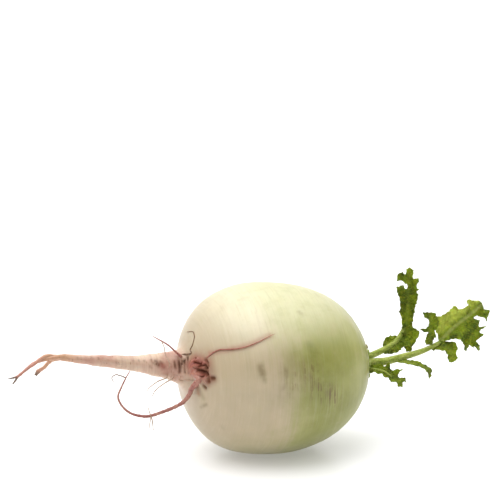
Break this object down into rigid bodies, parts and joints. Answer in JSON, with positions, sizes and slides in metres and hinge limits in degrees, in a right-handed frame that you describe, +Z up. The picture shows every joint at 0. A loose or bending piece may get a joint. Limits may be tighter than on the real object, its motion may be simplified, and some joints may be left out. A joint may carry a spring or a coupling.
{
  "type": "radish",
  "caption": "Whole round green and cream radish lying on its side, with a tapering forked tap root, fine side roots and a few young ruffled leaves.",
  "frame": {"origin": "middle of the small flat spot under the bulb that the radish rests on, on the floor", "axes": "+X along the radish towards its leaves, +Z up, +Y completes a right-handed frame; the tap root points along -X"},
  "size_m": [0.2604, 0.0896, 0.09],
  "materials": {
    "bulb_skin": "satin",
    "root_skin": "matte",
    "hair": "matte",
    "leaf": "satin",
    "stalk": "satin"
  },
  "bodies": {
    "root": {"root": "bulb_skin", "side_root_long": "root_skin", "side_root_on_bulb": "root_skin", "side_root_upper": "root_skin", "root_hair_squiggle": "hair", "root_hair_crossing": "hair", "root_hair_under_a": "hair", "root_hair_under_b": "hair", "root_hair_low": "hair", "root_hair_far": "hair", "leaf_big": "leaf", "leaf_upright": "leaf", "leaf_low": "leaf", "leaf_heart_a": "leaf", "leaf_heart_b": "leaf", "stalk_stub_1": "stalk", "stalk_stub_2": "stalk", "stalk_stub_3": "stalk", "stalk_stub_4": "stalk", "stalk_stub_5": "stalk", "stalk_stub_6": "stalk", "stalk_stub_7": "stalk", "stalk_stub_8": "stalk"}
  },
  "joints": []
}
